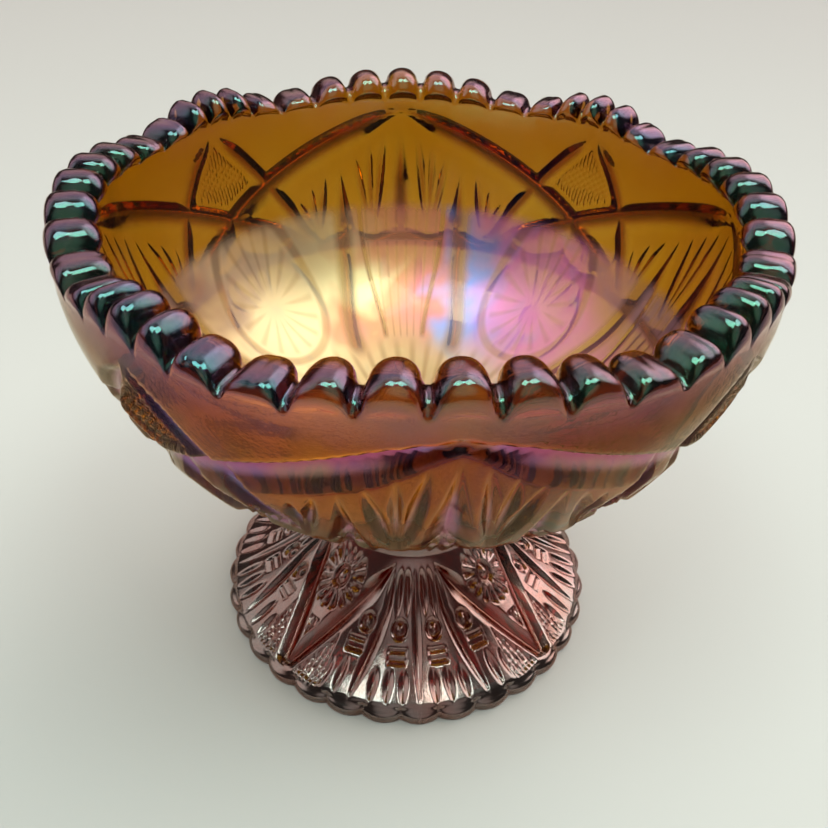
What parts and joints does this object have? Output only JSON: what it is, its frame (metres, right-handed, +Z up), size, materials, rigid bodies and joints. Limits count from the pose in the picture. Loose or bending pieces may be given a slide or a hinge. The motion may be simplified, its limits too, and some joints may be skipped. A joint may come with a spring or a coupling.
{
  "type": "footed bowl",
  "caption": "Deep round pressed-glass bowl with a beaded, waved rim, lifted off a separate flared pedestal base.",
  "frame": {"origin": "centre of the ring that the base stands on, at the table's level", "axes": "+Z up along the axis of the bowl and base; -Y runs to the middle of a wide wave of the rim, which is the front"},
  "size_m": [0.2116, 0.2116, 0.171],
  "materials": {
    "bowl_glass": "marigold amber glass with an iridescent lustre",
    "base_glass": "smoky rose-brown glass with a silvery iridescent lustre"
  },
  "bodies": {
    "base": {"pedestal_base": "base_glass"},
    "bowl": {"bowl": "bowl_glass"}
  },
  "joints": [
    {"name": "bowl_lift", "type": "slide", "parent": "base", "child": "bowl", "axis": [0, 0, 1], "range_m": [0, 0.06]}
  ]
}
